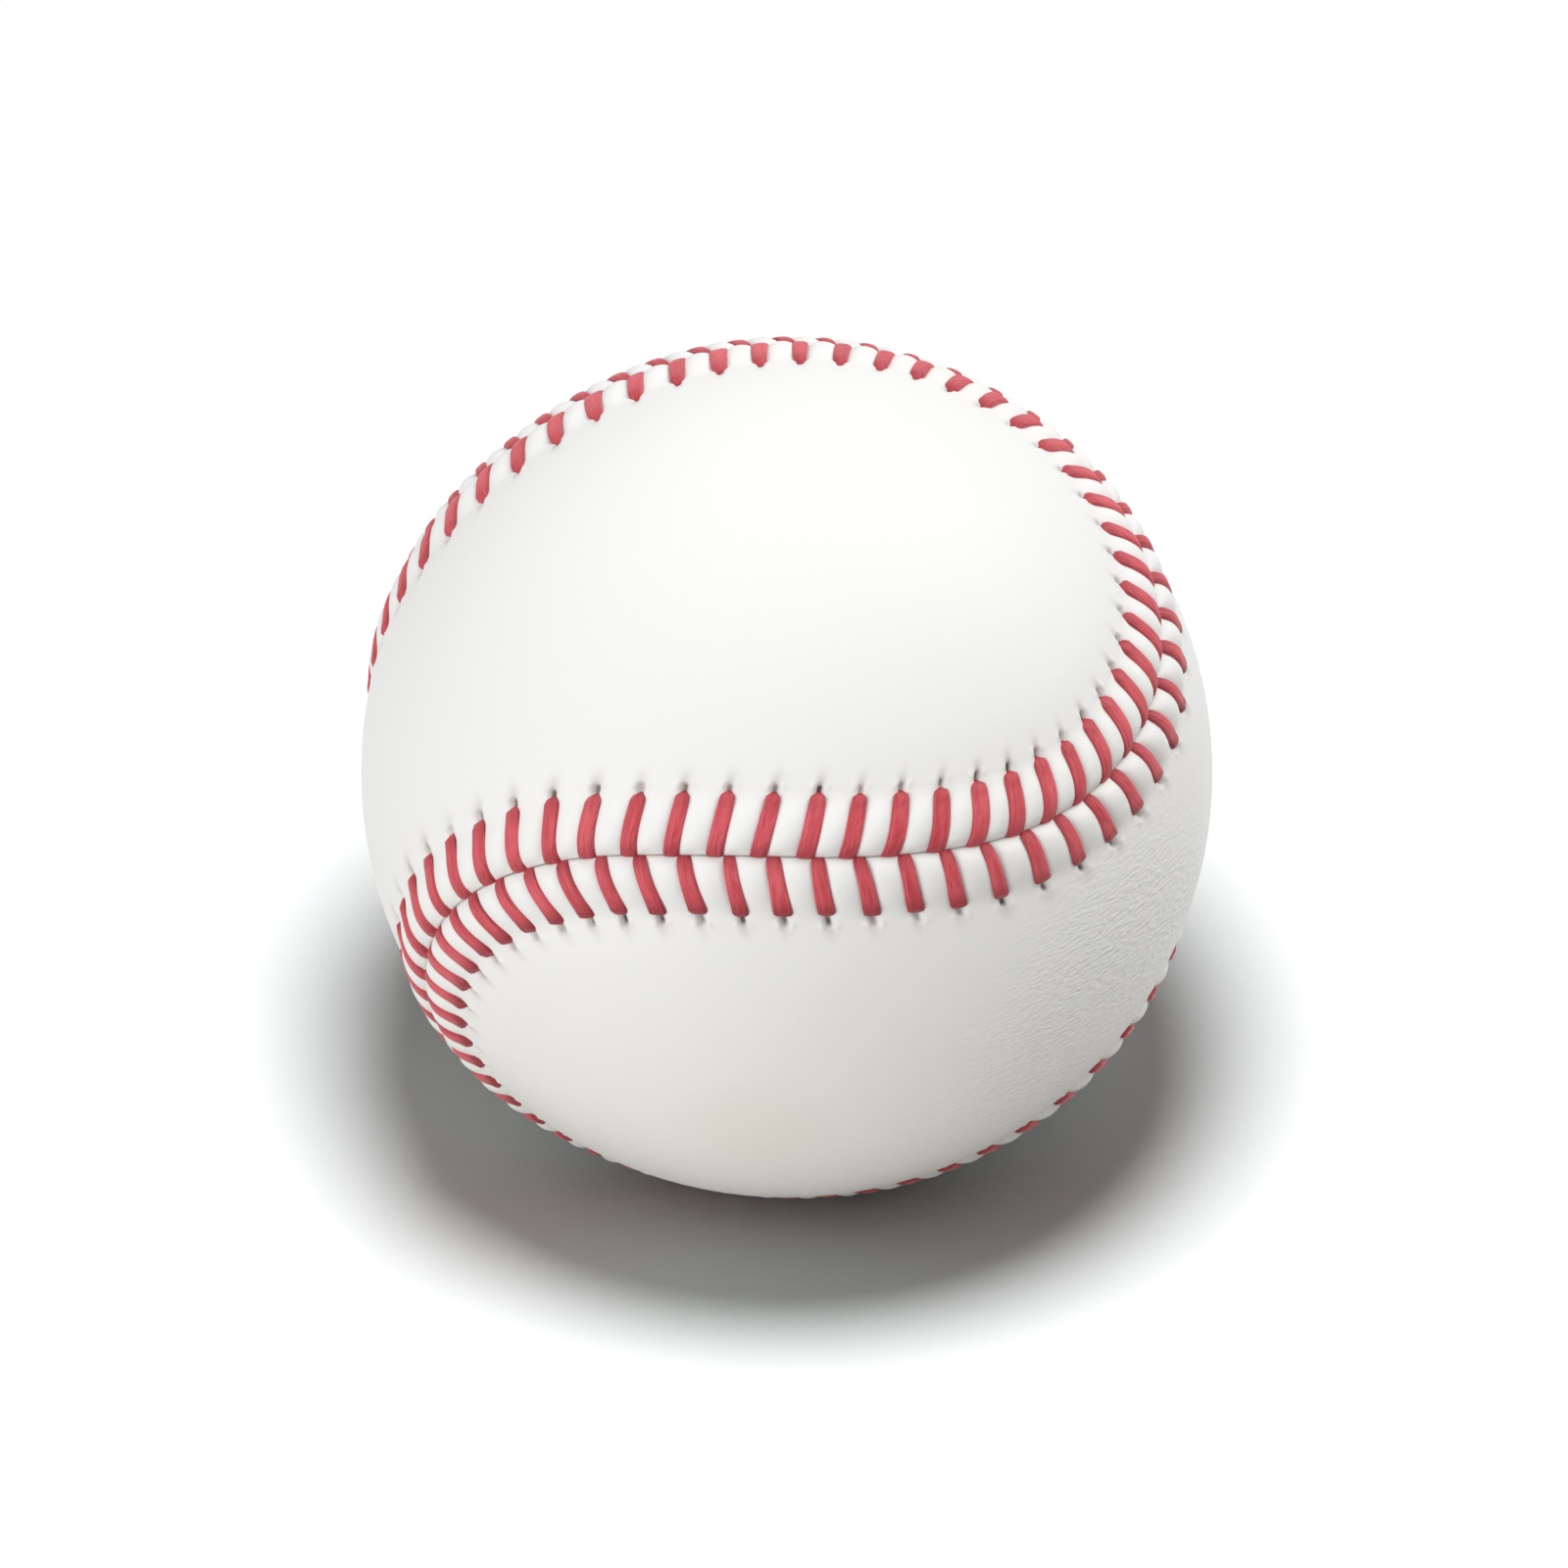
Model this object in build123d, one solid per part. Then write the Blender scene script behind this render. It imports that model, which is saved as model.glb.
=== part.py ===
from build123d import *
import os
from math import atan2, copysign, cos, hypot, radians, sin, sqrt

# Baseball: a cushioned cork centre, four windings and a laced two-piece leather cover.
# Millimetres and degrees. The origin is the ball's centre, and the ball lies as it rests on a table.

# Layers, from the middle outwards
cork_diameter = 20.6
black_rubber_thickness = 3.2
washer_thickness = 0.8
red_rubber_thickness = 3.15
first_winding_thickness = 14.65
second_winding_thickness = 1.75
third_winding_thickness = 2.3
finish_winding_thickness = 0.45
cement_thickness = 0.1
cover_thickness = 1.2

# Seam line, as angles at the ball's centre. One arc runs round each of the four lobes,
# and a flatter arc on either side leads it to the next lobe.
lobe_lift = 19.0
lobe_radius = 45.0
lobe_half_sweep = 77.0

# Raised edge of each cover panel. Offsets are measured to the side of the seam line,
# heights from the ball's outer surface.
lip_height = 0.45
lip_crown_offset = 1.9
lip_foot_offset = 4.0
lip_foot_fillet = 3.0
lip_rim_offset = 6.8
edge_gap = 0.24
edge_top_height = -0.3
edge_bottom_height = -0.95

# Lacing: one row of stitches along each side of the seam, in flattened thread
stitches_per_row = 108
thread_width = 1.35
thread_flat = 0.7
thread_thickness = 0.65
thread_clearance = 0.16
hole_offset = 4.9
shoulder_offset = 1.0
tuck_offset = 0.4
stitch_lean = 1.2
row_a_phase = 0.35
row_b_phase = 0.63

# Turns that lay the ball down as it rests, about X, then the new Y, then the new Z
rest_turn = (142.8, -80.9, -12.4)

# Outer radius of each layer
cork_radius = cork_diameter / 2
black_rubber_radius = cork_radius + black_rubber_thickness
pill_radius = black_rubber_radius + red_rubber_thickness
first_winding_radius = pill_radius + first_winding_thickness
second_winding_radius = first_winding_radius + second_winding_thickness
third_winding_radius = second_winding_radius + third_winding_thickness
finish_winding_radius = third_winding_radius + finish_winding_thickness
cement_radius = finish_winding_radius + cement_thickness
ball_radius = cement_radius + cover_thickness

centre = Vector(0, 0, 0)


def layer(inner_radius, outer_radius):
    """Hollow ball that fills the space between two radii."""
    return Sphere(outer_radius) - Sphere(inner_radius)


def half_shell(inner_radius, outer_radius, gap, side):
    """Half of a hollow ball, cut flat at half the gap above or below the middle."""
    width = 2 * outer_radius
    half = Pos(0, 0, side * (outer_radius + gap) / 2) * Box(width, width, outer_radius)
    return layer(inner_radius, outer_radius) & half


def washer(inner_radius, outer_radius, thickness):
    """Flat ring whose bore and rim follow the balls inside and outside it."""
    slab = Cylinder(outer_radius, thickness)
    return layer(inner_radius, outer_radius) & slab


def mirrored(v):
    """Swap X and Y: the two halves of the arc round a lobe are mirror images."""
    return Vector(v.Y, v.X, v.Z)


def quarter_turned(v):
    """Turn a quarter about Z and flip Z, which carries each lobe of the seam to the next."""
    return Vector(-v.Y, v.X, -v.Z)


def sweep_about(axis, start, end):
    """Signed angle from start to end as seen along an axis through the ball's centre."""
    flat_start = start - axis * start.dot(axis)
    flat_end = end - axis * end.dot(axis)
    return flat_start.get_signed_angle(flat_end, axis)


def seam_arcs():
    """The seam's twelve arcs in order, each as its axis, its start and its sweep.

    Every axis passes through the ball's centre and points so that the sweep is positive.
    Neighbouring arcs are tangent, so a section drawn across one fits the next as well.
    """
    lift, radius, half = radians(lobe_lift), radians(lobe_radius), radians(lobe_half_sweep)
    out = Vector(1, 1, 0).normalized()
    side = Vector(1, -1, 0).normalized()
    up = Vector(0, 0, 1)
    lobe_axis = out * cos(lift) + up * sin(lift)
    lobe_top = up * cos(lift) - out * sin(lift)
    joint = lobe_axis * cos(radius) + (lobe_top * cos(half) + side * sin(half)) * sin(radius)
    # The flatter arc is tangent at the joint and passes through the X axis, where the seam turns over
    start = Vector(1, 0, 0)
    inward = (lobe_axis - joint * cos(radius)) / sin(radius)
    flat_radius = atan2(1 - joint.dot(start), inward.dot(start))
    flat_axis = joint * cos(flat_radius) + inward * sin(flat_radius)

    quarter = [
        (flat_axis, start, joint),
        (lobe_axis, joint, mirrored(joint)),
        (mirrored(flat_axis), mirrored(joint), mirrored(start)),
    ]
    arcs = []
    for turn in range(4):
        for axis, begin, end in quarter:
            sweep = sweep_about(axis, begin, end)
            arcs.append((axis * copysign(1, sweep), begin, abs(sweep)))
        quarter = [tuple(quarter_turned(v) for v in arc) for arc in quarter]
    return arcs


arcs = seam_arcs()


def arc_length(arc):
    """Length of one seam arc on the ball's surface."""
    axis, start, sweep = arc
    return ball_radius * axis.cross(start).length * radians(sweep)


seam_length = sum(arc_length(arc) for arc in arcs)
stitch_pitch = seam_length / stitches_per_row


def section_plane(axis, radial):
    """Plane across the seam: X points sideways along the ball, Y outwards and Z along the seam."""
    along = axis.cross(radial).normalized()
    return Plane(origin=centre, x_dir=radial.cross(along), z_dir=along)


def seam_plane(distance):
    """Section plane at a distance along the seam from its start."""
    distance %= seam_length
    for arc in arcs:
        length = arc_length(arc)
        if distance < length:
            break
        distance -= length
    axis, start, sweep = arc
    return section_plane(axis, start.rotate(Axis(centre, axis), sweep * distance / length))


def section_point(offset, height):
    """Point of a section plane, by its offset to the side and its height above the ball's surface."""
    return Vector(offset, sqrt((ball_radius + height) ** 2 - offset**2))


def seam_point(distance, offset, height):
    """Point near the seam, by distance along it, offset from it and height above the ball."""
    return seam_plane(distance).from_local_coords(section_point(offset, height))


def along_seam(section):
    """The solids that a section sweeps out along the seam, one for each of its arcs."""
    solids = []
    for axis, start, sweep in arcs:
        solids.append(revolve(section_plane(axis, start) * section, Axis(centre, axis), sweep))
    return solids


def band_section():
    """Section of the strip that holds both raised edges, well past the leather on both faces."""
    spare = cover_thickness
    inner, outer = -cover_thickness - spare, lip_height + spare
    corners = [
        section_point(-lip_rim_offset, inner),
        section_point(0, inner),
        section_point(lip_rim_offset, inner),
        section_point(lip_rim_offset, outer),
        section_point(0, outer),
        section_point(-lip_rim_offset, outer),
    ]
    outline = [
        ThreePointArc(*corners[:3]),
        Line(corners[2], corners[3]),
        ThreePointArc(*corners[3:]),
        Line(corners[5], corners[0]),
    ]
    return make_face(outline)


def lip_section(side):
    """Section of one panel's raised edge, a crowned lip over a tunnel, blended into the ball."""

    def point(offset, height):
        return section_point(side * offset, height)

    middle_offset = (lip_foot_offset + lip_rim_offset) / 2
    inside = -cover_thickness

    crown = point(lip_crown_offset, lip_height)
    outward = Vector(crown.Y, -crown.X).normalized() * side
    foot = point(lip_foot_offset, 0)
    edge_top = point(edge_gap / 2, edge_top_height)
    edge_bottom = point(edge_gap / 2, edge_bottom_height)
    crown_under = point(lip_crown_offset, lip_height - cover_thickness)
    foot_under = point(lip_foot_offset, inside)
    rim_under = point(lip_rim_offset, inside)
    rim = point(lip_rim_offset, 0)

    outline = [
        ThreePointArc(rim, point(middle_offset, 0), foot),
        TangentArc(crown, foot, tangent=outward),
        TangentArc(crown, edge_top, tangent=-outward),
        Line(edge_top, edge_bottom),
        TangentArc(crown_under, edge_bottom, tangent=-outward),
        TangentArc(crown_under, foot_under, tangent=outward),
        ThreePointArc(foot_under, point(middle_offset, inside), rim_under),
        Line(rim_under, rim),
    ]
    section = make_face(outline)
    return fillet(section.vertices().sort_by_distance(foot)[0], lip_foot_fillet)


def lip_drop(offset):
    """How far the lip falls below its crown at an offset between the crown and the seam."""
    run = lip_crown_offset - edge_gap / 2
    fall = lip_height - edge_top_height
    radius = (run**2 + fall**2) / (2 * fall)
    return radius - sqrt(radius**2 - (lip_crown_offset - offset) ** 2)


def thread_section(spare):
    """Flattened six-sided section of the thread, with room to spare all round."""
    tip = thread_width / 2 + spare
    flat = thread_flat / 2 + spare
    rise = thread_thickness / 2 + spare
    upper = [(tip, 0), (flat, rise), (-flat, rise)]
    lower = [(-tip, 0), (-flat, -rise), (flat, -rise)]
    return make_face(Polyline(*upper, *lower, close=True))


# A stitch lies in a plane through the ball's centre, drawn here as XY with Y outwards at mid-stitch
stitch_length = hypot(hole_offset, stitch_lean)


def stitch_point(offset, height):
    """Point of a stitch's plane, by its offset from the seam and its height above the ball."""
    return section_point((offset / hole_offset - 0.5) * stitch_length, height)


def stitch():
    """One stitch: up through its hole, then over the lip and down towards the seam."""
    above = thread_thickness / 2 + thread_clearance
    over_crown = lip_height + above
    path = Polyline(
        stitch_point(hole_offset, thread_clearance - cover_thickness),
        stitch_point(hole_offset, above),
        stitch_point(lip_crown_offset, over_crown),
        stitch_point(shoulder_offset, over_crown - lip_drop(shoulder_offset)),
        stitch_point(tuck_offset, over_crown - lip_drop(tuck_offset)),
    )
    start = Plane(origin=path @ 0, x_dir=(0, 0, 1), z_dir=path % 0)
    return sweep(start * thread_section(0), path, transition=Transition.RIGHT)


def stitch_hole():
    """Cutter for one hole, straight through the leather and wider than the thread by its clearance."""
    start = stitch_point(hole_offset, -2 * cover_thickness)
    end = stitch_point(hole_offset, cover_thickness)
    plane = Plane(origin=start, x_dir=(0, 0, 1), z_dir=end - start)
    return extrude(plane * thread_section(thread_clearance), (end - start).length)


def row_locations(side, phase):
    """Where the stitches of one row lie. The phase is the first one's share of the pitch."""
    locations = []
    for i in range(stitches_per_row):
        distance = (phase + i) * stitch_pitch
        hole = seam_point(distance, side * hole_offset, 0)
        seam = seam_point(distance - stitch_lean, 0, 0)
        outward = (hole + seam).normalized()
        plane = Plane(origin=centre, x_dir=hole - seam, z_dir=(hole - seam).cross(outward))
        locations.append(plane.location)
    return locations


def stitch_row(side, phase):
    """All the stitches on one side of the seam."""
    one = stitch()
    return Compound([location * one for location in row_locations(side, phase)])


def laced(panel, side, phase):
    """A panel with the holes of its row of stitches."""
    hole = stitch_hole()
    return panel.cut(*[location * hole for location in row_locations(side, phase)])


def cover_panel():
    """One panel before lacing: a figure-eight blank with its raised edge. Its neck lies on +Z."""
    neck = Vector(0, 0, ball_radius - cover_thickness / 2)
    blanks = layer(cement_radius, ball_radius).cut(*along_seam(band_section())).solids()
    blank = next(solid for solid in blanks if solid.is_inside(neck))
    return blank.fuse(*along_seam(lip_section(1)))


panel = cover_panel()
# The second panel is the first one turned over about the X axis, where the seam crosses it
twin = panel.rotate(Axis.X, 180)

nodes = {
    "cork_core": Sphere(cork_radius),
    "black_rubber_upper": half_shell(cork_radius, black_rubber_radius, washer_thickness, 1),
    "black_rubber_lower": half_shell(cork_radius, black_rubber_radius, washer_thickness, -1),
    "pill_washer": washer(cork_radius, black_rubber_radius, washer_thickness),
    "red_rubber_jacket": layer(black_rubber_radius, pill_radius),
    "first_winding": layer(pill_radius, first_winding_radius),
    "second_winding": layer(first_winding_radius, second_winding_radius),
    "third_winding": layer(second_winding_radius, third_winding_radius),
    "finish_winding": layer(third_winding_radius, finish_winding_radius),
    "cement_coat": layer(finish_winding_radius, cement_radius),
    "cover_panel_a": laced(panel, 1, row_a_phase),
    "cover_panel_b": laced(twin, -1, row_b_phase),
    "stitch_row_a": stitch_row(1, row_a_phase),
    "stitch_row_b": stitch_row(-1, row_b_phase),
}

os.makedirs("parts", exist_ok=True)
at_rest = Location(centre, rest_turn)
for name, shape in nodes.items():
    export_step(at_rest * shape, f"parts/{name}.step", write_pcurves=False)
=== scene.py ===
import math
import random

import bmesh
import bpy
import numpy as np
from mathutils import Matrix, Vector
from mathutils.geometry import delaunay_2d_cdt


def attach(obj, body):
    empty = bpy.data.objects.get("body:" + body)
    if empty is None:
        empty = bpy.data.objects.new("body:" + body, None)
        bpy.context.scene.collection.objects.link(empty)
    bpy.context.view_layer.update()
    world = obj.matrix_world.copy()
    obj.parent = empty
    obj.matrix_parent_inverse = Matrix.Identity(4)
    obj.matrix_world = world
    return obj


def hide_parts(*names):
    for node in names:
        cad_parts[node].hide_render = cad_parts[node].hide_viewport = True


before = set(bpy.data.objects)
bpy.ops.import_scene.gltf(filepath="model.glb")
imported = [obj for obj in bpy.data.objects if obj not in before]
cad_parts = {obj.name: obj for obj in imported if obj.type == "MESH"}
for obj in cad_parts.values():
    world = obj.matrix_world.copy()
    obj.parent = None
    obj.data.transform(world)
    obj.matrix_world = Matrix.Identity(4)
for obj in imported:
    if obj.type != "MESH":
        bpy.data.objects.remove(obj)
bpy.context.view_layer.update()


# Cork core
# The middle of the ball is a small ball of ground cork bound with rubber.
# It is pressed in a mould, so dark grains show on a dull tan face.

mm = 0.001


def place(tree, kind, sockets, **settings):
    """Adds a node, sets its properties, and fills its sockets with values or with other nodes' outputs."""
    node = tree.nodes.new(kind)
    for name, value in settings.items():
        setattr(node, name, value)
    for name, value in sockets.items():
        if isinstance(value, bpy.types.NodeSocket):
            tree.links.new(value, node.inputs[name])
        else:
            node.inputs[name].default_value = value
    return node


def maths(tree, operation, *values):
    """The result of an operation on values."""
    return place(tree, "ShaderNodeMath", dict(enumerate(values)), operation=operation).outputs[0]


def scaled(tree, value, factor, plus=0.0):
    """A value times a factor, plus a constant or another value."""
    return maths(tree, "MULTIPLY_ADD", value, factor, plus)


def stretched_over(tree, value, low, high):
    """A value brought from the range low to high onto 0 to 1, with soft ends."""
    sockets = {"Value": value, "From Min": low, "From Max": high}
    return place(tree, "ShaderNodeMapRange", sockets, interpolation_type="SMOOTHSTEP").outputs[0]


def mixed(tree, share, first, second):
    """The first colour, giving way to the second by its share."""
    return place(tree, "ShaderNodeMix", {0: share, 6: first, 7: second}, data_type="RGBA").outputs[2]


def noise(tree, vector, scale, detail):
    """A cloudy value, with finer clouds for more detail."""
    sockets = {"Vector": vector, "Scale": scale, "Detail": detail}
    return place(tree, "ShaderNodeTexNoise", sockets).outputs["Fac"]


def body_position(tree):
    """The place on the object, in metres from the ball's centre."""
    return tree.nodes.new("ShaderNodeTexCoord").outputs["Object"]


def new_group(name, inputs, outputs):
    """An empty shader group with its named sockets."""
    group = bpy.data.node_groups.new(name, "ShaderNodeTree")
    for socket, (kind, default) in inputs.items():
        group.interface.new_socket(socket, in_out="INPUT", socket_type=kind).default_value = default
    for socket, kind in outputs.items():
        group.interface.new_socket(socket, in_out="OUTPUT", socket_type=kind)
    return group, group.nodes.new("NodeGroupInput").outputs, group.nodes.new("NodeGroupOutput").inputs


def speckle_group():
    """Grains of a second colour scattered through a moulded mass, a little proud of it."""
    group, given, result = new_group(
        "Moulded speckle",
        {
            "Grain Size": ("NodeSocketFloat", 1 * mm),
            "Grain Share": ("NodeSocketFloat", 0.4),
            "Mass": ("NodeSocketColor", (0.5, 0.5, 0.5, 1)),
            "Grain": ("NodeSocketColor", (0.1, 0.1, 0.1, 1)),
        },
        {"Color": "NodeSocketColor", "Height": "NodeSocketFloat", "Roughness": "NodeSocketFloat"},
    )
    mottling = 0.3
    least_roughness = 0.55
    roughness_range = 0.3
    position = body_position(group)
    per_metre = maths(group, "DIVIDE", 1.0, given["Grain Size"])
    cells = place(group, "ShaderNodeTexVoronoi", {"Vector": position, "Scale": per_metre}).outputs
    cloud = noise(group, position, per_metre, detail=4.0)
    picked = place(group, "ShaderNodeSeparateColor", {"Color": cells["Color"]}).outputs["Red"]
    is_grain = maths(group, "LESS_THAN", picked, given["Grain Share"])
    clouded = mixed(group, cloud, given["Mass"], given["Grain"])
    mottled = mixed(group, mottling, given["Mass"], clouded)
    group.links.new(mixed(group, is_grain, mottled, given["Grain"]), result["Color"])
    group.links.new(maths(group, "ADD", cells["Distance"], cloud), result["Height"])
    group.links.new(scaled(group, cloud, roughness_range, least_roughness), result["Roughness"])
    return group


moulded_speckle = speckle_group()


def new_material(name):
    """A material with its node tree and its main shader."""
    material = bpy.data.materials.new(name)
    material.use_nodes = True
    return material, material.node_tree, material.node_tree.nodes["Principled BSDF"].inputs


def relief(tree, shader, height, depth):
    """Gives a shader the relief of a height map, with its depth in metres."""
    bump = place(tree, "ShaderNodeBump", {"Height": height, "Distance": depth, "Strength": 1.0})
    tree.links.new(bump.outputs["Normal"], shader["Normal"])


def moulded_material(name, mass, grain, grain_size, grain_share, depth):
    """A moulded compound with grains in it."""
    material, tree, shader = new_material(name)
    sockets = {"Grain Size": grain_size, "Grain Share": grain_share, "Mass": mass, "Grain": grain}
    speckle = place(tree, "ShaderNodeGroup", sockets, node_tree=moulded_speckle)
    tree.links.new(speckle.outputs["Color"], shader["Base Color"])
    tree.links.new(speckle.outputs["Roughness"], shader["Roughness"])
    relief(tree, shader, speckle.outputs["Height"], depth)
    return material


def dress(node, material):
    """Gives a solid of the frame its material."""
    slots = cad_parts[node].data.materials
    slots.clear()
    slots.append(material)


cork = moulded_material(
    "ground cork",
    mass=(0.46, 0.27, 0.13, 1),
    grain=(0.16, 0.08, 0.04, 1),
    grain_size=1.6 * mm,
    grain_share=0.35,
    depth=0.2 * mm,
)
dress("cork_core", cork)


# Black rubber halves
# Two cups of black rubber, moulded apart, close round the cork.
# Their faces are dull and finely pitted from the mould.

black_rubber = moulded_material(
    "black rubber",
    mass=(0.02, 0.02, 0.021, 1),
    grain=(0.045, 0.045, 0.045, 1),
    grain_size=0.7 * mm,
    grain_share=0.3,
    depth=0.06 * mm,
)
dress("black_rubber_upper", black_rubber)
dress("black_rubber_lower", black_rubber)


# Red washer and jacket
# A thin washer of red rubber seals the joint between the black cups, and a jacket
# of the same rubber is moulded over them. Cork and rubber together are the pill.

red_rubber = moulded_material(
    "red rubber",
    mass=(0.42, 0.045, 0.03, 1),
    grain=(0.3, 0.03, 0.022, 1),
    grain_size=0.9 * mm,
    grain_share=0.35,
    depth=0.08 * mm,
)
dress("pill_washer", red_rubber)
dress("red_rubber_jacket", red_rubber)


# Windings
# Three layers of wool yarn and a last one of fine cotton are wound on tight, each turn
# laid across the ones below, so patches of parallel yarn cross in all directions.

yarn_patch_size = 12 * mm
yarn_roughness = 0.9
fuzz_per_metre = 2500.0
fuzz_share = 0.3


def vector_maths(tree, operation, output, *values):
    """The vector or the value that an operation on vectors puts out."""
    return place(tree, "ShaderNodeVectorMath", dict(enumerate(values)), operation=operation).outputs[output]


def wound_yarn_group():
    """Patches of parallel yarn, each patch laid its own way, with fuzz on the yarn and painted shade in the
    dips between turns.
    """
    group, given, result = new_group(
        "Wound yarn",
        {
            "Yarn Width": ("NodeSocketFloat", 1 * mm),
            "Yarn": ("NodeSocketColor", (0.5, 0.5, 0.5, 1)),
            "Shade": ("NodeSocketColor", (0.2, 0.2, 0.2, 1)),
        },
        {"Color": "NodeSocketColor", "Height": "NodeSocketFloat"},
    )
    grey = (0.5, 0.5, 0.5)
    position = body_position(group)
    patch = place(group, "ShaderNodeTexVoronoi", {"Vector": position, "Scale": 1 / yarn_patch_size})
    leaning = vector_maths(group, "SUBTRACT", "Vector", patch.outputs["Color"], grey)
    across = vector_maths(group, "NORMALIZE", "Vector", leaning)
    run = vector_maths(group, "DOT_PRODUCT", "Value", position, across)
    turns = maths(group, "DIVIDE", run, given["Yarn Width"])
    wave = maths(group, "SINE", scaled(group, turns, 2 * math.pi))
    strand = scaled(group, wave, 0.5, 0.5)
    fuzz = noise(group, position, fuzz_per_metre, detail=3.0)
    height = scaled(group, fuzz, fuzz_share, strand)
    # Painted light on the tops of the turns and painted shade in the dips between them
    lit = stretched_over(group, height, low=0.0, high=0.9)
    group.links.new(mixed(group, lit, given["Shade"], given["Yarn"]), result["Color"])
    group.links.new(height, result["Height"])
    return group


wound_yarn = wound_yarn_group()


def yarn_material(name, yarn, shade, width):
    """A layer of wound yarn of one width, with painted shade between its turns."""
    material, tree, shader = new_material(name)
    sockets = {"Yarn Width": width, "Yarn": yarn, "Shade": shade}
    winding = place(tree, "ShaderNodeGroup", sockets, node_tree=wound_yarn)
    tree.links.new(winding.outputs["Color"], shader["Base Color"])
    shader["Roughness"].default_value = yarn_roughness
    relief(tree, shader, winding.outputs["Height"], width / 3)
    return material


grey_wool = yarn_material(
    "grey wool", yarn=(0.25, 0.25, 0.24, 1), shade=(0.1, 0.1, 0.1, 1), width=1.8 * mm
)
white_wool = yarn_material(
    "white wool", yarn=(0.7, 0.67, 0.58, 1), shade=(0.4, 0.37, 0.31, 1), width=1.5 * mm
)
cotton_yarn = yarn_material(
    "cotton yarn", yarn=(0.76, 0.74, 0.66, 1), shade=(0.45, 0.43, 0.37, 1), width=0.6 * mm
)
dress("first_winding", grey_wool)
dress("second_winding", white_wool)
dress("third_winding", grey_wool)
dress("finish_winding", cotton_yarn)


# Cement coat
# The wound ball is dipped in rubber cement, which dries to a thin amber film
# that the leather is laid on while it is tacky.

cement = moulded_material(
    "dried cement",
    mass=(0.55, 0.4, 0.18, 1),
    grain=(0.42, 0.28, 0.11, 1),
    grain_size=3 * mm,
    grain_share=0.25,
    depth=0.05 * mm,
)
dress("cement_coat", cement)


# Leather panels
# Two figure-eight pieces of white cowhide, damped, stretched over the wound ball and sewn
# edge to edge. The lacing lifts both edges into a rounded lip and pinches it at every
# stitch, so the leather puffs up between stitches and puckers round each hole.

# Sizes of the shapes are in millimetres, and a panel's side is 1 for panel A and -1 for panel B
ball_radius = 37.1
leather_thickness = 1.2

# Angles of the seam line's arcs, as in the solid model, and how the ball lies
lobe_lift = math.radians(19.0)
lobe_radius = math.radians(45.0)
lobe_half_sweep = math.radians(77.0)
rest_turn = [math.radians(angle) for angle in (142.8, -80.9, -12.4)]

# Section of the lip: offsets to the side of the seam, and heights above the ball
lip_height = 0.45
lip_crown = 1.9
lip_foot = 4.9
edge_offset = 0.03
edge_top = -0.12
edge_bottom = -0.95
band_width = 9.6

# The stitches and their holes
stitches_per_row = 108
hole_offset = 5.3
stitch_lean = 1.2
row_phase = {1: 0.35, -1: 0.63}
thread_half_width = 0.75

# The puff between two stitches: where it starts beside the thread, and how it rises and fades from the seam
puff_height = 0.47
puff_start = 0.3
puff_share_at_edge = 0.4
puff_rise = 0.9
puff_fade_start = 3.1
puff_fade = 2.5

# The groove under the thread
groove_depth = 0.14
groove_flat_share = 0.4
groove_rise = 0.8
groove_fade_start = 4.4
groove_fade = 0.9

# The needle hole: a slit in a dimple, a rim at each side and a crease beyond
slit_depth = 0.42
slit_half_width = 0.27
slit_half_length = 0.46
slit_shift = 0.2
dimple_depth = 0.22
dimple_half_width = 0.6
dimple_half_length = 0.85
rim_height = 0.13
rim_beside = 0.62
rim_half_width = 0.24
rim_shift = 0.6
rim_half_length = 0.38
crease_depth = 0.07
crease_half_width = 0.35
crease_rise = 0.5
crease_length = 2.6

# The brown of the pucker round a hole, and how wide the painted shade reaches in the crevice along the seam
pucker_stain = 0.55
pucker_half_width = 0.52
pucker_shift = 0.75
pucker_half_length = 0.9
crevice_shade_width = 0.22

# How the holes differ: how brown they are and how dark the painted shade in their slits is, and how hard the
# thread pulls at them
panel_seed = 3
browning_and_shading = (0.45, 1.0)
thread_pull = (0.7, 1.2)


def smooth_step(x):
    """0 below 0, 1 above 1, and a soft rise between."""
    x = np.clip(x, 0, 1)
    return x * x * (3 - 2 * x)


def hump(x, y):
    """1 in the middle, falling off softly both ways."""
    return np.exp(-(x**2) - y**2)


def unit(v):
    """A vector of length 1."""
    return v / np.linalg.norm(v, axis=-1, keepdims=True)


def seam_arcs():
    """The twelve arcs of the seam line in order, each as its axis, start and sweep on a ball of radius 1."""
    out, side, up = unit(np.array([[1.0, 1, 0], [1, -1, 0], [0, 0, 1]]))
    lobe_axis = out * math.cos(lobe_lift) + up * math.sin(lobe_lift)
    lobe_top = up * math.cos(lobe_lift) - out * math.sin(lobe_lift)
    toward = lobe_top * math.cos(lobe_half_sweep) + side * math.sin(lobe_half_sweep)
    joint = lobe_axis * math.cos(lobe_radius) + toward * math.sin(lobe_radius)
    start = np.array([1.0, 0, 0])
    inward = (lobe_axis - joint * math.cos(lobe_radius)) / math.sin(lobe_radius)
    flat_radius = math.atan2(1 - joint @ start, inward @ start)
    flat_axis = joint * math.cos(flat_radius) + inward * math.sin(flat_radius)
    swap = np.array([[0, 1, 0], [1, 0, 0], [0, 0, 1]])
    quarter_turn = np.array([[0, -1, 0], [1, 0, 0], [0, 0, -1]])
    quarter = [
        (flat_axis, start, joint),
        (lobe_axis, joint, swap @ joint),
        (swap @ flat_axis, swap @ joint, swap @ start),
    ]
    arcs = []
    for turn in range(4):
        for axis, begin, end in quarter:
            sweep = math.atan2(axis @ np.cross(begin, end), begin @ end - (axis @ begin) * (axis @ end))
            arcs.append((axis * math.copysign(1, sweep), begin, abs(sweep)))
        quarter = [tuple(quarter_turn @ v for v in arc) for arc in quarter]
    return arcs


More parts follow.
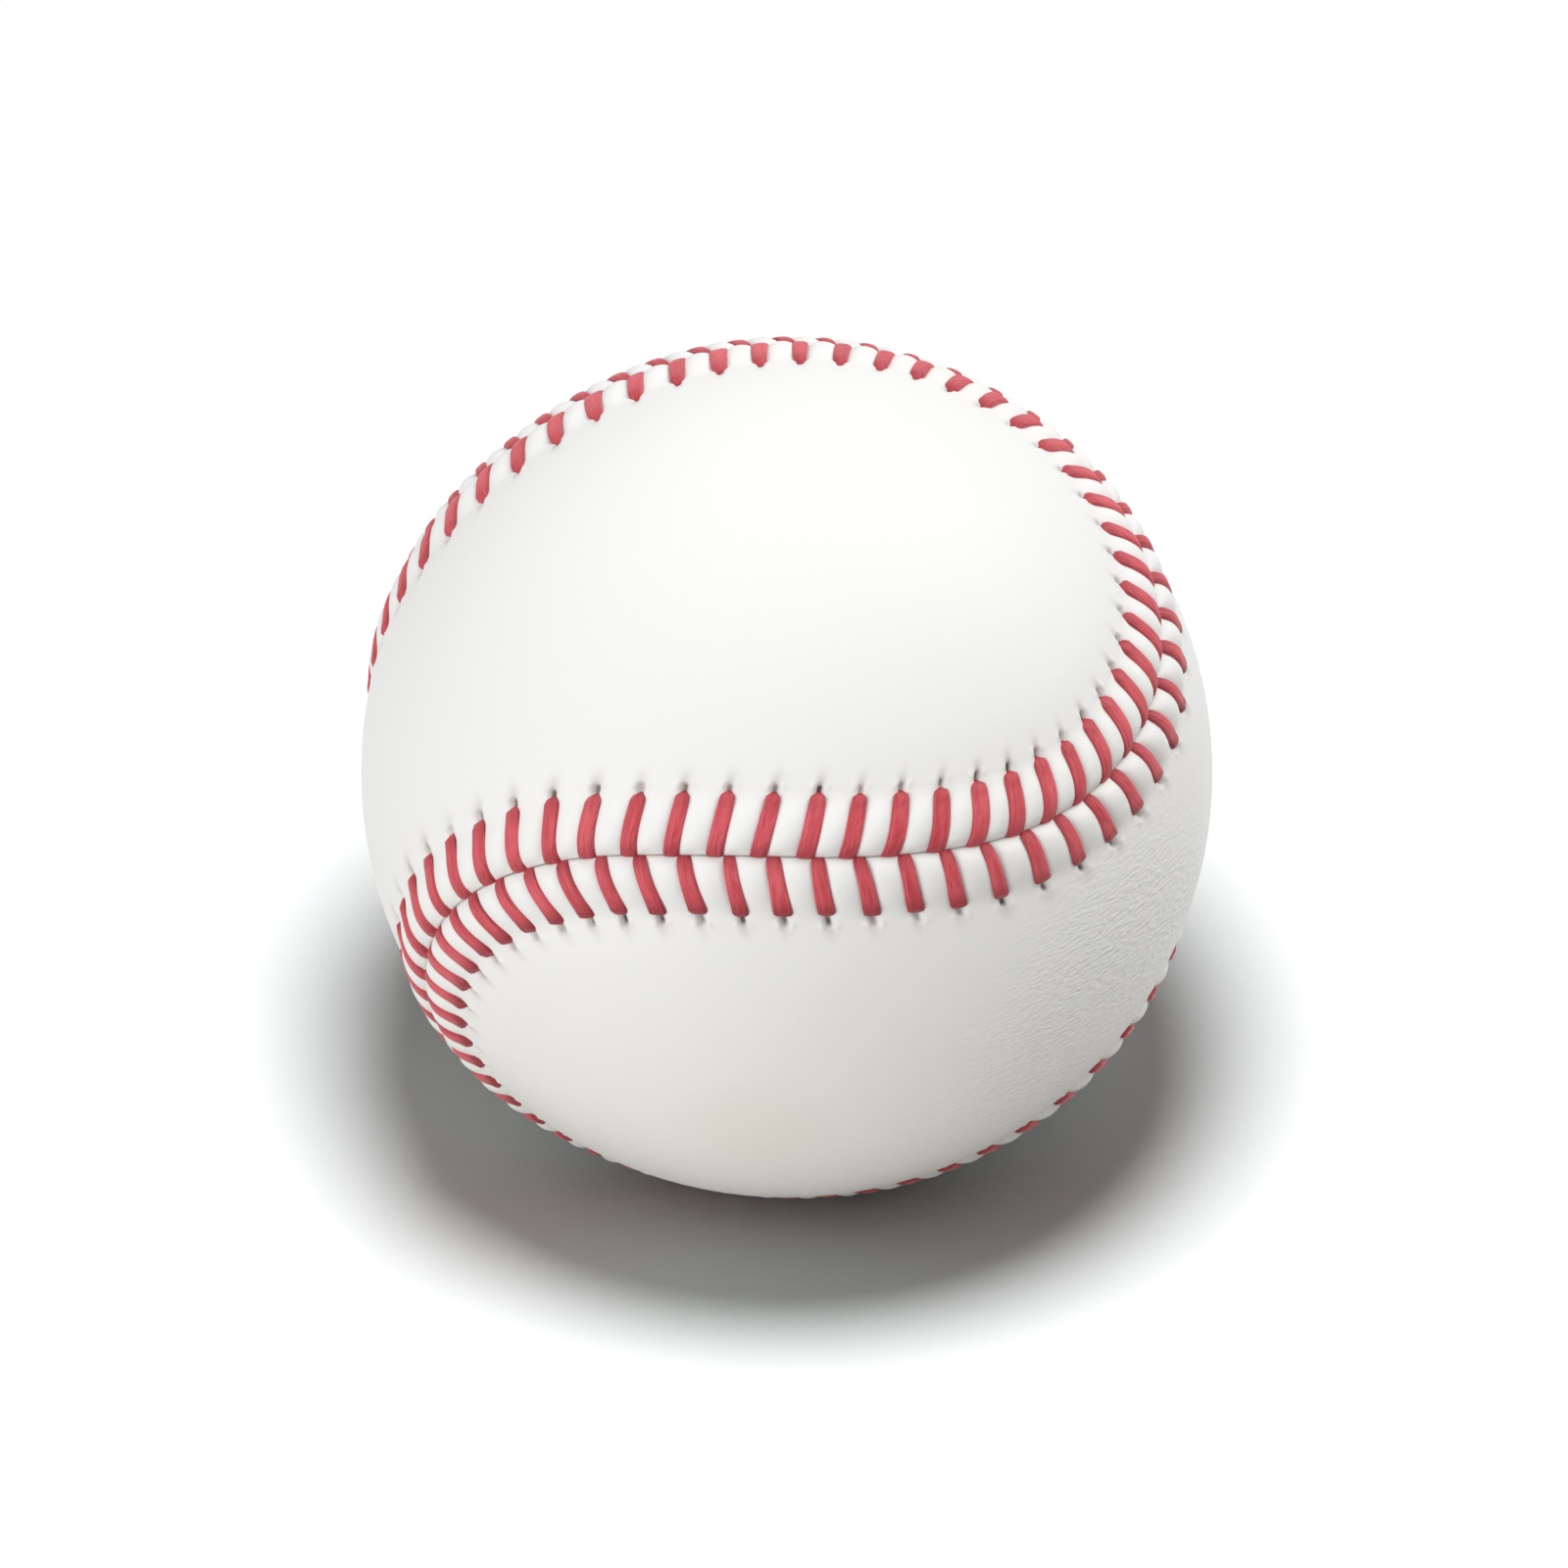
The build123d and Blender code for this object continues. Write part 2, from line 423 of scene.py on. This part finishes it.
arcs = seam_arcs()
arc_axis, arc_start, arc_sweep = (np.array(part) for part in zip(*arcs))
arc_length = ball_radius * np.linalg.norm(np.cross(arc_axis, arc_start), axis=1) * arc_sweep
arc_end = np.cumsum(arc_length)
seam_length = arc_end[-1]
pitch = seam_length / stitches_per_row
about_x, about_y, about_z = (Matrix.Rotation(angle, 3, axis) for angle, axis in zip(rest_turn, "XYZ"))
laid_down = np.array(about_x @ about_y @ about_z)


def seam_frame(distance):
    """Outward, along and sideways directions at distances along the seam."""
    distance = np.mod(distance, seam_length)
    which = np.minimum(np.searchsorted(arc_end, distance, side="right"), len(arcs) - 1)
    axis, start = arc_axis[which], arc_start[which]
    angle = arc_sweep[which] * (1 - (arc_end[which] - distance) / arc_length[which])
    level = axis * np.sum(axis * start, -1, keepdims=True)
    turned = (start - level) * np.cos(angle)[..., None] + np.cross(axis, start) * np.sin(angle)[..., None]
    outward = level + turned
    along = unit(np.cross(axis, outward))
    return outward, along, np.cross(outward, along)


def on_ball(distance, offset, height):
    """Points by distance along the seam, offset to its side and height above the ball, in millimetres."""
    outward, along, sideways = seam_frame(distance)
    rise = np.sqrt((ball_radius + height) ** 2 - offset**2)
    return sideways * offset[..., None] + outward * rise[..., None]


def lip(offset):
    """Height of the lip's outer face, without its puffs."""
    run = lip_crown - edge_offset
    fall = lip_height - edge_top
    radius = (run**2 + fall**2) / (2 * fall)
    inner = lip_height - radius + np.sqrt(radius**2 - np.clip(lip_crown - offset, 0, run) ** 2)
    outer = lip_height * (1 - smooth_step((offset - lip_crown) / (lip_foot - lip_crown)))
    return np.where(offset < lip_crown, inner, outer)


def slit(across, past_hole):
    """1 in the slit that the needle and the pull of the thread leave, 0 around it."""
    return np.exp(-((across / slit_half_width) ** 4) - ((past_hole - slit_shift) / slit_half_length) ** 4)


def leather_face(across, offset, pull):
    """Height of the leather at a distance across from the nearest stitch and an offset from the seam."""
    away = np.clip((np.abs(across) - puff_start) / (pitch / 2 - puff_start), 0, 1)
    swell = puff_share_at_edge + (1 - puff_share_at_edge) * smooth_step(offset / puff_rise)
    swell = swell * (1 - smooth_step((offset - puff_fade_start) / puff_fade))
    puff = puff_height * np.sin(away * math.pi / 2) * swell
    groove = groove_depth * (1 - smooth_step(np.abs(across) / thread_half_width - groove_flat_share))
    groove = groove * smooth_step(offset / groove_rise)
    groove = groove * (1 - smooth_step((offset - groove_fade_start) / groove_fade))
    past_hole = offset - hole_offset
    dimple = dimple_depth * hump(across / dimple_half_width, past_hole / dimple_half_length)
    from_rim = (np.abs(across) - rim_beside) / rim_half_width
    rim = rim_height * hump(from_rim, (past_hole - rim_shift) / rim_half_length)
    crease = crease_depth * hump(across / crease_half_width, 0)
    crease = crease * smooth_step(past_hole / crease_rise) * (1 - smooth_step(past_hole / crease_length))
    return lip(offset) + puff - groove + pull * (rim - dimple - crease - slit_depth * slit(across, past_hole))


def stain_and_hole_shade(across, offset):
    """How far the leather is turned brown, deep in the slit and faintly where it puckers beyond; deep in the
    slit it also sets the painted shade.
    """
    past_hole = offset - hole_offset
    from_pucker = (past_hole - pucker_shift) / pucker_half_length
    return np.maximum(slit(across, past_hole), pucker_stain * hump(across / pucker_half_width, from_pucker))


# Where the grid lines of the band along the seam fall: across one pitch from the middle of its stitch,
# out over the lip from the seam, and back underneath, with the height of each line there
half_pitch_lines = [0.0, 0.14, 0.28, 0.42, 0.56, 0.7, 0.86, 1.05, 1.3, 1.58]
pitch_lines = np.array([-x for x in half_pitch_lines[:0:-1]] + half_pitch_lines + [pitch / 2])
edge_lines = [edge_offset, 0.08, 0.16, 0.28, 0.45, 0.7, 1.0]
crown_lines = np.arange(1.35, 4.4, 0.33)
hole_lines = np.arange(4.5, 6.7, 0.15)
plain_lines = [6.9, 7.2, 7.6, 8.1, 8.8, band_width]
face_lines = np.concatenate([edge_lines, crown_lines, hole_lines, plain_lines])
under_lines = [
    (edge_offset, -0.62),
    (edge_offset, edge_bottom),
    (lip_crown, -0.75),
    (3.2, -0.98),
    (4.7, -leather_thickness),
    (7.0, -leather_thickness),
    (band_width, -leather_thickness),
]


def panel_band(side):
    """The strip of one panel along the seam, in rows from its border over the lip and back underneath."""
    columns = (np.arange(stitches_per_row)[:, None] + row_phase[side]) * pitch + pitch_lines
    columns = columns.ravel()
    across = np.tile(pitch_lines, stitches_per_row)
    rng = np.random.default_rng(panel_seed + side)
    # Each hole's share of brown and of painted shade in its slit
    browned_and_shaded = np.repeat(rng.uniform(*browning_and_shading, stitches_per_row), len(pitch_lines))
    pull = np.repeat(rng.uniform(*thread_pull, stitches_per_row), len(pitch_lines))
    rows, stain_and_shade_values = [], []
    for offset in face_lines[::-1]:
        rows.append((offset, leather_face(across, np.full_like(across, offset), pull)))
        stain_and_shade_values.append(browned_and_shaded * stain_and_hole_shade(across, offset))
    for offset, height in under_lines:
        rows.append((offset, np.full_like(across, height)))
        stain_and_shade_values.append(np.zeros_like(across))
    points, crevice_shades = [], []
    for offset, height in rows:
        distance = columns + stitch_lean * (offset / hole_offset - 1)
        points.append(on_ball(distance, np.full_like(across, side * offset), height))
        # Painted shade: darker along the panel's edge, where it turns down into the crevice of the seam
        crevice_shades.append(np.full_like(across, 1 - smooth_step((offset - edge_offset) / crevice_shade_width)))
    return np.array(points), np.array(stain_and_shade_values), np.array(crevice_shades)


def flat_map(points, side):
    """Lays directions out flat round the middle of a panel's neck, keeping areas."""
    direction = unit(points)
    spread = np.sqrt(2 / (1 + side * direction[:, 2]))
    return np.stack([direction[:, 0] * spread, side * direction[:, 1] * spread], 1)


def even_points(count):
    """Directions spread evenly over a ball."""
    step = np.arange(count) + 0.5
    height = 1 - 2 * step / count
    turn = step * math.pi * (3 - math.sqrt(5))
    ring = np.sqrt(1 - height**2)
    return np.stack([ring * np.cos(turn), ring * np.sin(turn), height], 1)


# The plain middle of a panel: points over the whole ball, places along the seam to keep clear of, and the gap
middle_point_count = 9000
seam_place_count = 1200
middle_gap = 0.8


def middle_points(side, clear):
    """Even directions that lie on one panel and clear of the seam."""
    directions = even_points(middle_point_count)
    outward, along, sideways = seam_frame(np.linspace(0, seam_length, seam_place_count, endpoint=False))
    nearness = directions @ outward.T
    nearest = nearness.argmax(1)
    inside = side * np.sum(directions * sideways[nearest], 1) > 0
    return directions[inside & (nearness.max(1) < math.cos(clear / ball_radius))]


def store(mesh, name, values):
    """Keeps a value for each point of a mesh, for its material to read."""
    layer = mesh.attributes.new(name, "FLOAT", "POINT")
    layer.data.foreach_set("value", np.array(values, np.float32))


def finished_piece(mesh):
    """Turns all faces outwards, shades them smooth and links the mesh as a piece."""
    work = bmesh.new()
    work.from_mesh(mesh)
    bmesh.ops.recalc_face_normals(work, faces=work.faces)
    work.to_mesh(mesh)
    work.free()
    mesh.shade_smooth()
    piece = bpy.data.objects.new(mesh.name, mesh)
    bpy.context.scene.collection.objects.link(piece)
    return piece


def leather_panel(name, side):
    """One closed panel: the band along the seam and the plain middle, with its outer and inner face."""
    band, stain_and_shade_values, crevice_shades = panel_band(side)
    row_count, column_count = band.shape[:2]
    band_count = row_count * column_count
    last_row = band_count - column_count
    middle = middle_points(side, band_width + middle_gap)
    flat = flat_map(np.concatenate([band[0], middle]), side)
    loop = [(i, (i + 1) % column_count) for i in range(column_count)]
    inside_only = 1
    weld_distance = 1e-9
    cut = delaunay_2d_cdt([Vector(p) for p in flat], loop, [], inside_only, weld_distance)
    triangles = [tuple(face) for face in cut[2]]

    def outside(i):
        return i if i < column_count else band_count + i - column_count

    def underneath(i):
        return last_row + i if i < column_count else band_count + len(middle) + i - column_count

    faces = []
    for r in range(row_count - 1):
        near = r * column_count
        far = near + column_count
        faces += [(near + i, near + j, far + j, far + i) for i, j in loop]
    faces += [tuple(outside(i) for i in face) for face in triangles]
    faces += [tuple(underneath(i) for i in face[::-1]) for face in triangles]
    outer = middle * ball_radius
    inner = middle * (ball_radius - leather_thickness)
    points = np.concatenate([band.reshape(-1, 3), outer, inner])
    mesh = bpy.data.meshes.new(name)
    mesh.from_pydata((points @ laid_down.T * mm).tolist(), [], faces)
    plain = np.zeros(2 * len(middle))
    store(mesh, "stain_and_hole_shade", np.concatenate([stain_and_shade_values.ravel(), plain]))
    store(mesh, "crevice", np.concatenate([crevice_shades.ravel(), plain]))
    return finished_piece(mesh)


# Colours of the hide, and how far each of the later ones covers the white
leather_white = (0.84, 0.837, 0.822, 1)
leather_warm = (0.8, 0.775, 0.7, 1)
warm_share = 0.5
warm_clouds = (0.5, 0.8)
clouds_per_metre = 28.0
needle_brown = (0.36, 0.3, 0.26, 1)
needle_share = 0.75
# Painted shade deep in the needle slits, where the hole falls into shadow
painted_slit_shade = (0.07, 0.055, 0.05, 1)
slit_shade_share = 0.85
slit_shade_range = (0.4, 0.95)
# Painted shade in the crevice along the seam, where the panels turn down
painted_crevice_shade = (0.2, 0.12, 0.09, 1)
crevice_shade_share = 0.35

# A faint smudge, low at the front
smudge_tan = (0.8, 0.765, 0.66, 1)
smudge_share = 0.45
smudged_spot = (-2.3 * mm, -35 * mm, -12.1 * mm)
smudge_full = 2 * mm
smudge_end = 8.5 * mm

# The hide's grain is loose at one place, right of the middle, and ripples across there
rippled_spot = (28.7 * mm, -21.7 * mm, -9.2 * mm)
ripple_full = 9 * mm
ripple_end = 23 * mm
ripples_per_metre = (1150.0, 1150.0, 3200.0)
ripple_strength = 1.25
ripple_elsewhere = 0.06
pores_per_metre = 1900.0
pore_strength = 0.05
grain_depth = 0.21 * mm

least_leather_roughness = 0.4
leather_roughness_range = 0.16
leather_gloss = 0.24
leather_sheen = 0.03


def stored(tree, name):
    """A value that was kept for each point of the mesh."""
    return place(tree, "ShaderNodeAttribute", {}, attribute_name=name).outputs["Fac"]


def distance_from(tree, spot):
    """How far a place on the object is from a spot, in metres."""
    return vector_maths(tree, "DISTANCE", "Value", body_position(tree), spot)


def leather_material():
    """White tanned hide with a warm cast here and there, brown needle holes, painted shade in the slits and
    the seam's crevice, pores and rippled grain.
    """
    material, tree, shader = new_material("white leather")
    position = body_position(tree)
    cloud = noise(tree, position, clouds_per_metre, detail=3.0)
    warmed = scaled(tree, stretched_over(tree, cloud, *warm_clouds), warm_share)
    colour = mixed(tree, warmed, leather_white, leather_warm)
    near_smudge = stretched_over(tree, distance_from(tree, smudged_spot), smudge_end, smudge_full)
    colour = mixed(tree, scaled(tree, near_smudge, smudge_share), colour, smudge_tan)
    stain_and_shade = stored(tree, "stain_and_hole_shade")
    colour = mixed(tree, scaled(tree, stain_and_shade, needle_share), colour, needle_brown)
    # Painted shade darkens the deep slits of the needle holes
    slit_shade_mask = stretched_over(tree, stain_and_shade, *slit_shade_range)
    colour = mixed(tree, scaled(tree, slit_shade_mask, slit_shade_share), colour, painted_slit_shade)
    # Painted shade darkens the leather in the crevice along the seam
    crevice_shade_mask = stored(tree, "crevice")
    colour = mixed(tree, scaled(tree, crevice_shade_mask, crevice_shade_share), colour, painted_crevice_shade)
    tree.links.new(colour, shader["Base Color"])

    pores = place(tree, "ShaderNodeTexVoronoi", {"Vector": position, "Scale": pores_per_metre})
    squeezed = place(tree, "ShaderNodeMapping", {"Vector": position, "Scale": ripples_per_metre}).outputs[0]
    near_patch = stretched_over(tree, distance_from(tree, rippled_spot), ripple_end, ripple_full)
    strength = scaled(tree, near_patch, ripple_strength, ripple_elsewhere)
    ripples = maths(tree, "MULTIPLY", noise(tree, squeezed, scale=1.0, detail=2.0), strength)
    relief(tree, shader, scaled(tree, pores.outputs["Distance"], pore_strength, ripples), grain_depth)
    roughness = scaled(tree, cloud, leather_roughness_range, least_leather_roughness)
    tree.links.new(roughness, shader["Roughness"])
    shader["Specular IOR Level"].default_value = leather_gloss
    shader["Sheen Weight"].default_value = leather_sheen
    return material


white_leather = leather_material()
leather = {}
for side, letter in ((1, "a"), (-1, "b")):
    piece = leather_panel(f"leather_panel_{letter}", side)
    piece.data.materials.append(white_leather)
    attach(piece, "root")
    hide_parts(f"cover_panel_{letter}")
    leather[side] = piece


# Lacing
# One waxed red cotton thread is sewn by hand with two needles, up through each hole, over
# the lip and down into the seam. Pulled tight it lies flat, and its plies show as a slant.

lacing_seed = 7
ring_count = 22
side_count = 14

# The thread's section and its course over the lip, in millimetres
thread_half_height = 0.34
thread_squareness = 0.7
thread_lift = 0.24
thread_bow = 0.06
hole_end_gap = 0.05
hole_end = hole_offset - hole_end_gap
seam_dive = 0.5
seam_dive_length = 0.6
hole_dive = 1.4
hole_dive_start = 0.56
hole_dive_length = 0.4

# How far the stitches differ in lean, bow, width and the place where they dive into the hole
lean_jitter = 0.2
bow_jitter = 0.11
width_jitter = 0.1
dive_jitter = 0.12

# By row: where the stitches tuck in at the seam, how wide they are on their way, and how much painted shade
# darkens their ends
seam_end = {1: -0.24, -1: -0.02}
width_places = (0.0, 2.2, 3.6, hole_offset)
width_share = {1: (1.02, 1.0, 0.98, 0.8), -1: (0.78, 0.88, 0.98, 1.02)}
hole_shade = {1: 0.35, -1: 0.95}
hole_shade_start = 3.2
hole_shade_length = 1.7
seam_shade = 0.65
seam_shade_length = 1.8


def stitch_rings(side, index, rng):
    """Rings of points along one stitch, from the seam to its hole, and how much painted shade it gets at
    each.
    """
    t = (1 - np.cos(np.linspace(0, math.pi, ring_count))) / 2
    offset = seam_end[side] + (hole_end - seam_end[side]) * t
    lean = stitch_lean + rng.uniform(-lean_jitter, lean_jitter)
    bow = (side * thread_bow + rng.uniform(-bow_jitter, bow_jitter)) * np.sin(math.pi * t)
    distance = (index + row_phase[side]) * pitch + lean * (offset / hole_offset - 1) + bow
    dive = hole_dive_start + rng.uniform(-dive_jitter, dive_jitter)
    into_seam = 1 - smooth_step((offset - seam_end[side]) / seam_dive_length)
    into_hole = smooth_step((offset - hole_offset + dive) / hole_dive_length)
    height = lip(np.clip(offset, edge_offset, None)) - groove_depth + thread_lift
    height = height - seam_dive * into_seam - hole_dive * into_hole
    spread = np.interp(offset, width_places, width_share[side])
    half_width = thread_half_width * (1 + rng.uniform(-width_jitter, width_jitter)) * spread
    centres = on_ball(distance, side * offset, height)
    tangent = unit(np.gradient(centres, axis=0))
    along = seam_frame(distance)[1]
    normal = side * unit(np.cross(along, tangent))
    angle = np.linspace(0, 2 * math.pi, side_count, endpoint=False)
    flat_x = np.sign(np.cos(angle)) * np.abs(np.cos(angle)) ** thread_squareness
    flat_y = np.sign(np.sin(angle)) * np.abs(np.sin(angle)) ** thread_squareness
    width = half_width[:, None, None] * flat_x[None, :, None]
    thickness = thread_half_height * flat_y[None, :, None]
    # Painted shade: the thread is darker where it dives into the seam and the hole, and on the way to them
    near_seam = seam_shade * (1 - smooth_step(offset / seam_shade_length))
    near_hole = hole_shade[side] * smooth_step((offset - hole_shade_start) / hole_shade_length)
    painted_end_shade = np.maximum(np.maximum(into_seam, into_hole), np.maximum(near_seam, near_hole))
    return centres[:, None] + along[:, None] * width + normal[:, None] * thickness, painted_end_shade


def lacing_row(name, side):
    """All the stitches of one row as one piece."""
    rng = random.Random(lacing_seed + side)
    points, faces, shades, end_shade, run = [], [], [], [], []
    for index in range(stitches_per_row):
        rings, painted_end_shade = stitch_rings(side, index, rng)
        first = len(points)
        last = first + (ring_count - 1) * side_count
        points.extend(rings.reshape(-1, 3) @ laid_down.T * mm)
        shades += [rng.random()] * (ring_count * side_count)
        # The painted shade at each ring, kept for the material
        end_shade += np.repeat(painted_end_shade, side_count).tolist()
        run += np.repeat(np.linspace(0, 1, ring_count), side_count).tolist()
        for near in range(first, last, side_count):
            far = near + side_count
            for i in range(side_count):
                j = (i + 1) % side_count
                faces.append((near + i, near + j, far + j, far + i))
        faces.append(tuple(range(first, first + side_count)))
        faces.append(tuple(range(last, last + side_count)))
    mesh = bpy.data.meshes.new(name)
    mesh.from_pydata(np.array(points).tolist(), [], faces)
    store(mesh, "shade", shades)
    store(mesh, "end_shade", end_shade)
    store(mesh, "run", run)
    store(mesh, "around", np.tile(np.linspace(0, 1, side_count, endpoint=False), len(points) // side_count))
    return finished_piece(mesh)


# Colours of the thread, how far its fibres and its stitches differ, and the painted shade at its ends where
# it goes under
thread_red = (0.48, 0.037, 0.052, 1)
pale_red = (0.69, 0.112, 0.134, 1)
# Painted shade at the ends where the thread goes under
end_shade_red = (0.22, 0.011, 0.02, 1)
fibre_share = 0.7
stitch_share = 0.3
end_shade_share = 0.85

# Fibres round and along a stitch, with a pattern of its own for each, and the slant of the plies
fibres_around = 14.0
fibres_along = 3.0
fibre_patterns = 60.0
fibre_streaks = (0.3, 0.7)
plies_along = 7.0
plies_around = 4.0
ply_strength = 0.15
ply_depth = 0.08 * mm

least_thread_roughness = 0.4
thread_roughness_range = 0.3
thread_gloss = 0.35
thread_sheen = 0.18
thread_sheen_tint = (1, 0.8, 0.8, 1)


def thread_material():
    """Waxed red cotton: slanting plies with fibres, painted shade where it goes under, each stitch its own
    tone.
    """
    material, tree, shader = new_material("red thread")
    shade = stored(tree, "shade")
    around = stored(tree, "around")
    run = stored(tree, "run")
    sockets = {
        "X": scaled(tree, around, fibres_around),
        "Y": scaled(tree, run, fibres_along),
        "Z": scaled(tree, shade, fibre_patterns),
    }
    stitch_place = place(tree, "ShaderNodeCombineXYZ", sockets).outputs[0]
    fibre = stretched_over(tree, noise(tree, stitch_place, scale=1.0, detail=3.0), *fibre_streaks)
    paleness = scaled(tree, fibre, fibre_share, scaled(tree, shade, stitch_share))
    colour = mixed(tree, paleness, thread_red, pale_red)
    # Painted shade at the ends where the thread goes under
    colour = mixed(tree, scaled(tree, stored(tree, "end_shade"), end_shade_share), colour, end_shade_red)
    tree.links.new(colour, shader["Base Color"])
    slant = scaled(tree, run, plies_along, scaled(tree, around, plies_around))
    plies = maths(tree, "SINE", scaled(tree, slant, 2 * math.pi))
    relief(tree, shader, scaled(tree, plies, ply_strength, fibre), ply_depth)
    roughness = scaled(tree, fibre, thread_roughness_range, least_thread_roughness)
    tree.links.new(roughness, shader["Roughness"])
    shader["Specular IOR Level"].default_value = thread_gloss
    shader["Sheen Weight"].default_value = thread_sheen
    shader["Sheen Tint"].default_value = thread_sheen_tint
    return material


red_thread = thread_material()
lacing = {}
for side, letter in ((1, "a"), (-1, "b")):
    piece = lacing_row(f"lacing_{letter}", side)
    piece.data.materials.append(red_thread)
    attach(piece, "root")
    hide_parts(f"stitch_row_{letter}")
    lacing[side] = piece


# Floor, light and camera
# The ball lies on a plain pale table. Soft lights stand overhead, to the right and low at the
# front left, and the table has an overhead light of its own that throws the ball's shadow.

floor_half = 120 * mm
floor_level = -ball_radius * mm
table_light_level = 1.0
table_light_width = 130 * mm
table_light_height = 330 * mm
table_light_forward = 72 * mm
table_light_right = 4 * mm

# The camera sees the floor evenly white, as if the light's fall-off had been evened out, but the floor throws
# grey light on the ball. The red thread would tint the shadow, so the floor is a little cool near the ball.
floor_bounce = (0.49, 0.47, 0.42, 1)
floor_white = (0.97, 1, 1.005, 1)
floor_cool = (0.9, 1.05, 1.08, 1)
cool_full = 10 * mm
cool_end = 36 * mm

floor_mesh = bpy.data.meshes.new("floor")
corners = [(-1, -1), (1, -1), (1, 1), (-1, 1)]
floor_points = [(x * floor_half, y * floor_half, floor_level) for x, y in corners]
floor_mesh.from_pydata(floor_points, [], [(0, 1, 2, 3)])
floor = bpy.data.objects.new("floor", floor_mesh)
bpy.context.scene.collection.objects.link(floor)


def background_ray(tree):
    """1 for the rays that show the background, straight or mirrored, and 0 for those that light the ball."""
    rays = tree.nodes.new("ShaderNodeLightPath").outputs
    mirrored = maths(tree, "MAXIMUM", rays["Is Glossy Ray"], rays["Is Transmission Ray"])
    return maths(tree, "MAXIMUM", rays["Is Camera Ray"], mirrored)


floor_paint = bpy.data.materials.new("pale floor")
floor_paint.use_nodes = True
paint = floor_paint.node_tree
paint.nodes.clear()
under_light = (table_light_right, -table_light_forward, floor_level)
slope = scaled(paint, distance_from(paint, under_light), 1 / table_light_height)
evened = maths(paint, "POWER", scaled(paint, slope, slope, 1.0), 2.0)
near_ball = stretched_over(paint, distance_from(paint, (0, 0, floor_level)), cool_end, cool_full)
tint = mixed(paint, near_ball, floor_white, floor_cool)
seen = vector_maths(paint, "MULTIPLY", "Vector", tint, evened)
seen_or_thrown = mixed(paint, background_ray(paint), floor_bounce, seen)
face = place(paint, "ShaderNodeBsdfDiffuse", {"Color": seen_or_thrown})
place(paint, "ShaderNodeOutputMaterial", {"Surface": face.outputs[0]})
floor_mesh.materials.append(floor_paint)


def lit_by(name, *objects):
    """The collection of objects that a light reaches."""
    collection = bpy.data.collections.new(name)
    for lit in objects:
        collection.objects.link(lit)
    return collection


def sun(name, level, azimuth, elevation, width, receivers):
    """A soft distant light: its level on a face turned to it, its place and width, and what it reaches."""
    lamp = bpy.data.lights.new(name, "SUN")
    lamp.energy = level * math.pi
    lamp.angle = math.radians(width)
    holder = bpy.data.objects.new(name, lamp)
    a, e = math.radians(azimuth), math.radians(elevation)
    toward = Vector((math.sin(a) * math.cos(e), -math.cos(a) * math.cos(e), math.sin(e)))
    holder.rotation_euler = toward.to_track_quat("Z", "Y").to_euler()
    holder.light_linking.receiver_collection = receivers
    bpy.context.scene.collection.objects.link(holder)


ball_only = lit_by("ball", *leather.values(), *lacing.values())
table_only = lit_by("table", floor)
sun("overhead light", level=0.7, azimuth=0.0, elevation=85.0, width=150.0, receivers=ball_only)
sun("right light", level=0.47, azimuth=112.0, elevation=42.0, width=50.0, receivers=ball_only)
sun("front light", level=0.54, azimuth=-46.0, elevation=3.0, width=50.0, receivers=ball_only)

table_lamp = bpy.data.lights.new("table light", "AREA")
table_lamp.shape = "DISK"
table_lamp.size = table_light_width
table_lamp.energy = table_light_level * math.pi**2 * table_light_height**2
table_light = bpy.data.objects.new("table light", table_lamp)
table_light.location = (table_light_right, -table_light_forward, floor_level + table_light_height)
table_light.light_linking.receiver_collection = table_only
bpy.context.scene.collection.objects.link(table_light)

room_level = 0.08
world = bpy.data.worlds.new("studio")
world.use_nodes = True
sky = world.node_tree.nodes["Background"].inputs
sky["Color"].default_value = (1, 1, 1, 1)
shown = background_ray(world.node_tree)
world.node_tree.links.new(scaled(world.node_tree, shown, 1 - room_level, room_level), sky["Strength"])
bpy.context.scene.world = world

camera_distance = 742 * mm
camera_elevation = math.radians(36)
camera_back = camera_distance * math.cos(camera_elevation)
camera_up = camera_distance * math.sin(camera_elevation)
camera = bpy.data.cameras.new("camera")
camera.sensor_width = 36
camera.lens = 195.3
camera.shift_x = -0.0018
camera.shift_y = -0.0079
camera_holder = bpy.data.objects.new("camera", camera)
camera_holder.location = (0, -camera_back, camera_up)
camera_holder.rotation_euler = (math.pi / 2 - camera_elevation, 0, 0)
bpy.context.scene.collection.objects.link(camera_holder)
bpy.context.scene.camera = camera_holder
bpy.context.scene.view_settings.view_transform = "Standard"
